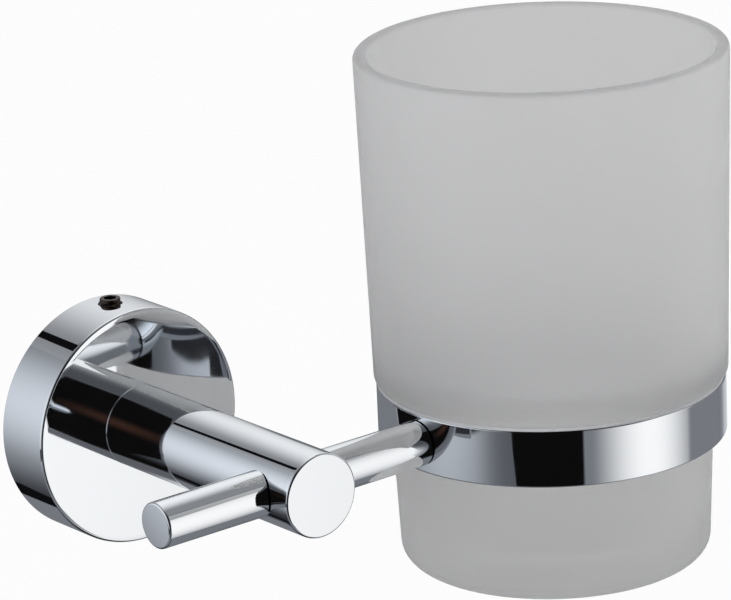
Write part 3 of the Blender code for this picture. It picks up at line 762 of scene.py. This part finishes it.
class HOLDER_OT_wall_flange(bpy.types.Operator):
    """Make the flange that covers the wall plate"""

    bl_idname = "holder.wall_flange"
    bl_label = "Wall Flange"

    def execute(self, context):
        size = context.scene.toothbrush_holder.flange
        bore = size.radius - size.wall
        inner_face = size.depth - size.wall
        corners = [
            (size.radius - size.buffed_width, size.depth),
            (size.radius, size.depth - size.buffed_drop, size.face_round),
            (size.radius, 0, size.back_round),
            (bore, 0, size.back_round),
            (bore, inner_face, size.inner_round),
            (size.screw_hole, inner_face),
            (size.screw_hole, size.depth),
        ]
        hole = size.set_screw_hole
        rim_cutter = spin([
            (0, size.radius + CUT_OVERRUN),
            (hole + size.hole_chamfer + CUT_OVERRUN, size.radius + CUT_OVERRUN),
            (hole, size.radius - size.hole_chamfer),
            (hole, bore - CUT_OVERRUN),
            (0, bore - CUT_OVERRUN),
        ], SMALL_STEPS)
        pin_cutter = bar(size.pin_hole, size.depth - size.pin_hole_depth,
                         size.depth + CUT_OVERRUN, SMALL_STEPS)
        add_part("wall_flange", "chrome", spin(corners, LARGE_STEPS, closed=True), WALL_CENTRE,
                 OUT_FROM_WALL, [
                     ("set_screw_hole_cut", rim_cutter, Vector((0, -SET_SCREW_DEPTH, 0)), UPRIGHT),
                     ("flange_pin_cut", pin_cutter, Vector((0, 0, PIN_LEVEL)), OUT_FROM_WALL),
                 ])
        return {"FINISHED"}


class HOLDER_OT_set_screw(bpy.types.Operator):
    """Make the hex-socket set screw in the flange's rim"""

    bl_idname = "holder.set_screw"
    bl_label = "Set Screw"

    def execute(self, context):
        size = context.scene.toothbrush_holder.fastener
        height = SET_SCREW_HIGH.z - SET_SCREW_LOW.z
        place = Vector((0, -SET_SCREW_DEPTH, SET_SCREW_LOW.z))
        thread_top = height - 2 * size.edge_round
        thread_end = size.m5_radius - size.set_screw_tip
        shank = spin([
            (0, height),
            (size.m5_radius, height, size.edge_round),
            *thread_rows(size.m5_radius, thread_top, thread_end, size.m5_pitch),
            (size.set_screw_tip, 0),
            (0, 0),
        ], SMALL_STEPS)
        wind_thread(shank, size.m5_radius, thread_end, thread_top, size.m5_pitch,
                    size.thread_wave)
        socket = hex_cutter(size.set_screw_socket, height - size.set_screw_socket_depth,
                            height + CUT_OVERRUN)
        add_part("set_screw", "black_steel", shank, place, UPRIGHT,
                 [("set_screw_socket_cut", socket, place, UPRIGHT)], body="set_screw")
        return {"FINISHED"}


class HOLDER_OT_arm(bpy.types.Operator):
    """Make the arm tube and its end cap"""

    bl_idname = "holder.arm"
    bl_label = "Arm"

    def execute(self, context):
        settings = context.scene.toothbrush_holder
        size = settings.arm
        root = settings.flange.depth + size.seam
        end = -CAP_LOW.y
        cap_back = -TUBE_LOW.y + size.seat_gap
        bore = size.radius - size.wall
        tube_end = cap_back - size.seam
        # Rings of edges on both sides of the stud's bore keep the boolean's faces small
        near_rod = [-ROD_CENTRE.y - settings.rod.radius, -ROD_CENTRE.y + settings.rod.radius]
        corners = [(size.radius, tube_end)]
        corners += [(size.radius, depth) for depth in reversed(near_rod)]
        corners += [(size.radius, root, size.root_round), (bore, root)]
        corners += [(bore, depth) for depth in near_rod]
        corners += [(bore, tube_end)]
        stud_bore = bar(settings.rod.bore_radius, -2 * size.radius, 2 * size.radius, SMALL_STEPS)
        add_part("arm_tube", "chrome", spin(corners, ROD_STEPS, closed=True), WALL_CENTRE,
                 OUT_FROM_WALL, [("stud_bore_cut", stud_bore, ROD_CENTRE, ALONG_ROD)])

        core = bore - size.seat_gap
        cap = spin([
            (0, end),
            (size.radius, end, size.edge_round),
            (size.radius, cap_back),
            (core, cap_back),
            (core, -CAP_HIGH.y),
            (0, -CAP_HIGH.y),
        ], ROD_STEPS)
        add_part("arm_end_cap", "chrome", cap, WALL_CENTRE, OUT_FROM_WALL)
        return {"FINISHED"}


class HOLDER_OT_arm_fasteners(bpy.types.Operator):
    """Make the root plug, arm screw, split washer and locating pin"""

    bl_idname = "holder.arm_fasteners"
    bl_label = "Arm Fasteners"

    def execute(self, context):
        settings = context.scene.toothbrush_holder
        size = settings.fastener
        self.add_plug(settings)

        back = -ARM_SCREW_HIGH.y
        seat = back + size.arm_head_height
        tip = -ARM_SCREW_LOW.y
        thread_end = tip - size.edge_round
        shank = spin([
            (0, tip),
            (size.m6_radius, tip, size.edge_round),
            *thread_rows(size.m6_radius, thread_end, seat, size.m6_pitch),
            (ARM_SCREW_HIGH.x, seat, size.edge_round),
            (ARM_SCREW_HIGH.x, back, size.arm_head_round),
            (0, back),
        ], SMALL_STEPS)
        wind_thread(shank, size.m6_radius, seat, thread_end, size.m6_pitch, size.thread_wave)
        socket = hex_cutter(size.arm_socket, back - CUT_OVERRUN, back + size.arm_socket_depth)
        add_part("arm_screw", "steel", shank, WALL_CENTRE, OUT_FROM_WALL,
                 [("arm_socket_cut", socket, WALL_CENTRE, OUT_FROM_WALL)])

        washer = split_ring(size.washer_bore, WASHER_HIGH.x, WASHER_HIGH.y - WASHER_LOW.y,
                            size.washer_split, size.washer_rise)
        middle = Vector((0, (WASHER_LOW.y + WASHER_HIGH.y) / 2, 0))
        add_part("arm_lock_washer", "steel", washer, middle, OUT_FROM_WALL)

        radius = PIN_HIGH.x
        pin = spin([
            (0, -PIN_LOW.y),
            (radius, -PIN_LOW.y, size.pin_round),
            (radius, -PIN_HIGH.y, size.pin_round),
            (0, -PIN_HIGH.y),
        ], SMALL_STEPS)
        add_part("arm_locating_pin", "steel", pin, Vector((0, 0, PIN_LEVEL)), OUT_FROM_WALL)
        return {"FINISHED"}

    def add_plug(self, settings):
        """The brass plug in the arm's rear end, tapped for the arm screw."""
        size = settings.arm
        radius = PLUG_HIGH.x
        root = -PLUG_HIGH.y
        end = -PLUG_LOW.y
        bore = settings.flange.screw_hole
        plug = spin([
            (0, end),
            (radius - size.plug_chamfer, end),
            (radius, end - size.plug_chamfer),
            (radius, root),
            (bore, root),
            (bore, size.plug_bore_end),
            (0, size.plug_bore_end),
        ], ROD_STEPS)
        pin_bore = bar(settings.flange.pin_hole, root - CUT_OVERRUN, size.pin_bore_end,
                       SMALL_STEPS)
        add_part("arm_root_plug", "brass", plug, WALL_CENTRE, OUT_FROM_WALL,
                 [("plug_pin_cut", pin_bore, Vector((0, 0, PIN_LEVEL)), OUT_FROM_WALL)])


class HOLDER_OT_cross_rod(bpy.types.Operator):
    """Make the peg and the ring bar"""

    bl_idname = "holder.cross_rod"
    bl_label = "Peg and Ring Bar"

    def execute(self, context):
        settings = context.scene.toothbrush_holder
        size = settings.rod
        arm_seat = settings.arm.radius + settings.arm.seat_gap
        ring_seat = settings.ring.radius + settings.arm.seat_gap
        middle = (size.bore_radius + size.radius) / 2
        bored_end = [
            (size.bore_radius, 0),
            (middle, 0),
            (size.radius, 0),
        ]
        peg = spin([
            (0, -size.bore_reach),
            (size.bore_radius, -size.bore_reach),
            *bored_end,
            (size.radius, PEG_LOW.x, size.end_round),
            (0, PEG_LOW.x),
        ], ROD_STEPS)
        saddle(peg, 0, lambda x, y: -math.sqrt(arm_seat ** 2 - x ** 2))
        add_part("peg", "chrome", peg, ROD_CENTRE, ALONG_ROD)

        reach = BAR_HIGH.x
        screw_end = RING_SCREW_LOW.x - size.ring_bore_runout
        ring_bar = spin([
            (0, size.bore_reach),
            (size.bore_radius, size.bore_reach),
            *bored_end,
            (size.radius, reach),
            ((size.radius + size.ring_bore_radius) / 2, reach),
            (size.ring_bore_radius, reach),
            (size.ring_bore_radius, screw_end),
            (0, screw_end),
        ], ROD_STEPS)
        saddle(ring_bar, 0, lambda x, y: math.sqrt(arm_seat ** 2 - x ** 2))
        saddle(ring_bar, reach, lambda x, y: RING_CENTRE.x - math.sqrt(ring_seat ** 2 - y ** 2))
        add_part("ring_bar", "chrome", ring_bar, ROD_CENTRE, ALONG_ROD)
        return {"FINISHED"}


class HOLDER_OT_cross_fasteners(bpy.types.Operator):
    """Make the bush and the stud that run through the arm"""

    bl_idname = "holder.cross_fasteners"
    bl_label = "Cross Bush and Stud"

    def execute(self, context):
        settings = context.scene.toothbrush_holder
        size = settings.fastener
        core = settings.arm.radius - settings.arm.wall - settings.arm.seat_gap
        outer = BUSH_HIGH.z
        bore = settings.rod.bore_radius
        reach = BUSH_HIGH.x
        bush = spin([(outer, reach), (outer, -reach), (bore, -reach), (bore, reach)], ROD_STEPS,
                    closed=True)
        saddle(bush, reach, lambda x, y: math.sqrt(core ** 2 - x ** 2))
        saddle(bush, -reach, lambda x, y: -math.sqrt(core ** 2 - x ** 2))
        add_part("cross_bush", "brass", bush, ROD_CENTRE, ALONG_ROD)

        end = STUD_HIGH.x
        thread_end = end - size.stud_chamfer
        stud = spin([
            (0, end),
            (size.m5_radius - size.stud_chamfer, end),
            *thread_rows(size.m5_radius, thread_end, -thread_end, size.m5_pitch),
            (size.m5_radius - size.stud_chamfer, -end),
            (0, -end),
        ], SMALL_STEPS)
        wind_thread(stud, size.m5_radius, -thread_end, thread_end, size.m5_pitch,
                    size.thread_wave)
        add_part("cross_stud", "steel", stud, ROD_CENTRE, ALONG_ROD)
        return {"FINISHED"}


class HOLDER_OT_ring(bpy.types.Operator):
    """Make the band ring, countersunk for its screw"""

    bl_idname = "holder.ring"
    bl_label = "Ring"

    def execute(self, context):
        settings = context.scene.toothbrush_holder
        size = settings.ring
        half = size.height / 2
        bore = size.radius - size.wall
        band = spin([
            (size.radius, half, size.edge_round),
            (size.radius, -half, size.edge_round),
            (bore, -half, size.edge_round),
            (bore, half, size.edge_round),
        ], LARGE_STEPS, closed=True)
        top = RING_SCREW_HIGH.x
        head = RING_SCREW_HIGH.z + size.sink_clearance
        shank = settings.rod.ring_bore_radius
        sink = spin([
            (0, top + CUT_OVERRUN),
            (head, top + CUT_OVERRUN),
            (head, top),
            (shank, top - settings.fastener.ring_neck),
            (shank, RING_LOW.x - CUT_OVERRUN),
            (0, RING_LOW.x - CUT_OVERRUN),
        ], SMALL_STEPS)
        add_part("ring_band", "chrome", band, RING_CENTRE, UPRIGHT,
                 [("ring_sink_cut", sink, ROD_CENTRE, ALONG_ROD)])
        return {"FINISHED"}


class HOLDER_OT_ring_screw(bpy.types.Operator):
    """Make the countersunk screw that holds the ring on its bar"""

    bl_idname = "holder.ring_screw"
    bl_label = "Ring Screw"

    def execute(self, context):
        size = context.scene.toothbrush_holder.fastener
        top = RING_SCREW_HIGH.x
        neck = top - size.ring_neck
        tip = RING_SCREW_LOW.x
        thread_end = tip + size.edge_round
        shank = spin([
            (0, top),
            (RING_SCREW_HIGH.z, top, size.edge_round),
            *thread_rows(size.m4_radius, neck, thread_end, size.m4_pitch),
            (size.m4_radius, tip, size.edge_round),
            (0, tip),
        ], SMALL_STEPS)
        wind_thread(shank, size.m4_radius, thread_end, neck, size.m4_pitch, size.thread_wave)
        socket = hex_cutter(size.ring_socket, top - size.ring_socket_depth, top + CUT_OVERRUN)
        add_part("ring_screw", "steel", shank, ROD_CENTRE, ALONG_ROD,
                 [("ring_socket_cut", socket, ROD_CENTRE, ALONG_ROD)])
        return {"FINISHED"}


class HOLDER_OT_tumbler(bpy.types.Operator):
    """Make the frosted tumbler"""

    bl_idname = "holder.tumbler"
    bl_label = "Tumbler"

    def execute(self, context):
        size = context.scene.toothbrush_holder.tumbler
        wall = size.wall
        rim, base, step = TUMBLER_HIGH.z, TUMBLER_LOW.z, size.step_height
        lip_round = (wall - size.lip_flat) / 2
        corners = [
            (0, base + size.base_thickness),
            (size.base_radius - wall, base + size.base_thickness, size.well_round),
            (size.neck_radius - wall, step, size.ramp_round),
            (size.shoulder_radius - wall, step + size.ramp_height, size.ramp_round),
            (size.rim_radius - wall, rim, lip_round),
            (size.rim_radius, rim, lip_round),
            (size.shoulder_radius, step, size.shoulder_round),
            (size.neck_radius, step),
            (size.base_radius, base, size.heel_round),
            (0, base),
        ]
        add_part("tumbler", "frosted_glass", spin(corners, LARGE_STEPS), RING_CENTRE, UPRIGHT,
                 body="tumbler")
        return {"FINISHED"}


class HOLDER_OT_studio(bpy.types.Operator):
    """Set up the floor, the light, the cards and the camera"""

    bl_idname = "holder.studio"
    bl_label = "Studio"

    def execute(self, context):
        scene = context.scene
        settings = scene.toothbrush_holder
        size = settings.studio
        scene.view_settings.view_transform = "Standard"
        self.add_camera(scene, size)
        self.add_world(scene, size)
        self.add_lamp(scene, size)
        self.add_floor(size, settings.colours)
        tent = self.add_tent("tent", size, settings.colours.tent)
        show_in_metal_only(tent)
        scrim = self.add_tent("scrim", size, settings.colours.scrim)
        show_in_glass_only(scrim)
        for card in STUDIO_CARDS:
            show_in_metal_only(self.add_card(*card))
        for card in SCRIM_CARDS:
            show_in_glass_only(self.add_card(*card))
        for leg in STAND_LEGS:
            self.add_leg(settings.colours.stand, *leg)
        return {"FINISHED"}

    def add_camera(self, scene, size):
        """The camera that the picture is taken with, turned a little about its own axis."""
        turn, rise = size.azimuth, size.elevation
        back = outward(turn, rise)
        level = Vector((math.cos(turn), math.sin(turn), 0))
        upright = back.cross(level)
        rolled = Matrix.Rotation(size.roll, 3, -back)
        axes = Matrix((rolled @ level, rolled @ upright, back)).transposed().to_4x4()
        camera = bpy.data.objects.new("camera", bpy.data.cameras.new("camera"))
        camera.matrix_world = Matrix.Translation(Vector(size.aim) + back * size.distance) @ axes
        camera.data.sensor_width = SENSOR_WIDTH
        camera.data.lens = size.lens
        camera.data.clip_start = NEAR_CLIP
        scene.collection.objects.link(camera)
        scene.camera = camera

    def add_world(self, scene, size):
        """Even light from all round, and a white background that metal and glass show too."""
        world = bpy.data.worlds.new("studio")
        world.use_nodes = True
        scene.world = world
        tree = world.node_tree
        level = add_node(tree, "ShaderNodeMapRange", {}, {
            "Value": (seen_directly(tree), "Value"), "To Min": size.world_level, "To Max": 1.0})
        background = tree.nodes["Background"]
        background.inputs["Color"].default_value = WHITE
        tree.links.new(level.outputs["Result"], background.inputs["Strength"])

    def add_lamp(self, scene, size):
        """A softbox overhead, which gives the floor its soft shadow."""
        lamp = bpy.data.objects.new("overhead_softbox", bpy.data.lights.new("overhead", "AREA"))
        lamp.data.energy = size.lamp_power
        lamp.data.size = size.lamp_size
        lamp.location = (RING_CENTRE.x, RING_CENTRE.y, size.lamp_height)
        lamp.visible_glossy = False
        scene.collection.objects.link(lamp)

    def add_floor(self, size, colours):
        """A matt white floor, which mostly glows white where it is seen."""
        material, tree, shader = new_material("Floor, matt white", colours.floor,
                                              metallic=0, roughness=0.9)
        glow = add_node(tree, "ShaderNodeEmission", {}, {"Color": WHITE, "Strength": 1.0})
        part = add_node(tree, "ShaderNodeMath", {"operation": "MULTIPLY"}, {
            0: (seen_directly(tree), "Value"), 1: size.floor_glow})
        mix = add_node(tree, "ShaderNodeMixShader", {}, {
            "Fac": (part, "Value"), 1: (shader, "BSDF"), 2: (glow, "Emission")})
        tree.links.new(mix.outputs["Shader"], tree.nodes["Material Output"].inputs["Surface"])
        bm = bmesh.new()
        bmesh.ops.create_grid(bm, x_segments=1, y_segments=1, size=size.floor_size / 2)
        floor = add_piece("floor", bm, Vector((0, 0, -size.floor_drop)), UPRIGHT, material)

    def add_tent(self, name, size, cloth_colour):
        """A cloth tent round the holder, which stands on the floor."""
        material = glowing_material(f"{name.title()}, lit cloth", cloth_colour)[0]
        bm = bmesh.new()
        middle = size.tent_size / 2 - size.floor_drop + TENT_LIFT
        bmesh.ops.create_cube(bm, size=size.tent_size)
        return add_piece(name, bm, Vector((0, 0, middle)), UPRIGHT, material)

    def add_leg(self, leg_colour, name, start, start_radius, end, end_radius):
        """A tapered black leg of the stand that holds the holder from behind."""
        foot = Vector(start) * MM
        along = Vector(end) * MM - foot
        bm = spin([(0, along.length), (end_radius * MM, along.length), (start_radius * MM, 0),
                   (0, 0)], SMALL_STEPS)
        material = glowing_material("Stand, black", leg_colour)[0]
        leg = add_piece(name, bm, foot, along.to_track_quat("Z", "Y").to_euler(), material)
        show_in_metal_only(leg)

    def add_card(self, name, azimuth, elevation, distance, width, height, softness, hex_colour):
        """A card that faces the holder, with edges that fade out."""
        material, tree, glow = glowing_material(name.replace("_", " "), linear(hex_colour))
        coords = add_node(tree, "ShaderNodeTexCoord")
        axes = add_node(tree, "ShaderNodeSeparateXYZ", {}, {"Vector": (coords, "Object")})
        fades = []
        for axis, side in (("X", width), ("Y", height)):
            across = add_node(tree, "ShaderNodeMath", {"operation": "ABSOLUTE"}, {0: (axes, axis)})
            fades.append(add_node(tree, "ShaderNodeMapRange", {
                "interpolation_type": "SMOOTHSTEP"}, {
                "Value": (across, "Value"), "From Min": side / 2 * (1 - softness) * MM,
                "From Max": side / 2 * MM, "To Min": 1.0, "To Max": 0.0}))
        cover = add_node(tree, "ShaderNodeMath", {"operation": "MULTIPLY"}, {
            0: (fades[0], "Result"), 1: (fades[1], "Result")})
        clear = add_node(tree, "ShaderNodeBsdfTransparent")
        mix = add_node(tree, "ShaderNodeMixShader", {}, {
            "Fac": (cover, "Value"), 1: (clear, "BSDF"), 2: (glow, "Emission")})
        tree.links.new(mix.outputs["Shader"], tree.nodes["Material Output"].inputs["Surface"])
        turn, rise = math.radians(azimuth), math.radians(elevation)
        bm = bmesh.new()
        # A square of one metre, scaled to the card
        bmesh.ops.create_grid(bm, x_segments=1, y_segments=1, size=1 / 2)
        bmesh.ops.scale(bm, verts=bm.verts, vec=(width * MM, height * MM, 1))
        place = HOLDER_MIDDLE + outward(turn, rise) * distance * MM
        return add_piece(name, bm, place, (math.pi / 2 - rise, 0, turn), material)


OPERATORS = (
    HOLDER_OT_studio, HOLDER_OT_wall_plate, HOLDER_OT_wall_flange, HOLDER_OT_set_screw,
    HOLDER_OT_arm, HOLDER_OT_arm_fasteners, HOLDER_OT_cross_rod, HOLDER_OT_cross_fasteners,
    HOLDER_OT_ring, HOLDER_OT_ring_screw, HOLDER_OT_tumbler,
)


class HOLDER_PT_sidebar(bpy.types.Panel):
    """A button for each group of pieces, and the sizes and colours that they use"""

    bl_idname = "HOLDER_PT_sidebar"
    bl_label = "Toothbrush Holder"
    bl_space_type = "VIEW_3D"
    bl_region_type = "UI"
    bl_category = "Holder"

    def draw(self, context):
        for operator in OPERATORS:
            self.layout.operator(operator.bl_idname)
        settings = context.scene.toothbrush_holder
        for name in HolderSettings.__annotations__:
            group = getattr(settings, name)
            box = self.layout.box()
            box.label(text=name.title())
            for size in type(group).__annotations__:
                box.prop(group, size)


CLASSES = (
    FlangeSizes, PlateSizes, ArmSizes, RodSizes, RingSizes, FastenerSizes, TumblerSizes,
    FinishColours, StudioSettings, HolderSettings, *OPERATORS, HOLDER_PT_sidebar,
)


def register():
    for cls in CLASSES:
        bpy.utils.register_class(cls)
    bpy.types.Scene.toothbrush_holder = PointerProperty(type=HolderSettings)


def unregister():
    del bpy.types.Scene.toothbrush_holder
    for cls in reversed(CLASSES):
        bpy.utils.unregister_class(cls)


def main():
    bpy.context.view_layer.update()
    register()
    for operator in OPERATORS:
        getattr(bpy.ops.holder, operator.bl_idname.removeprefix("holder."))()


if __name__ == "__main__":
    main()
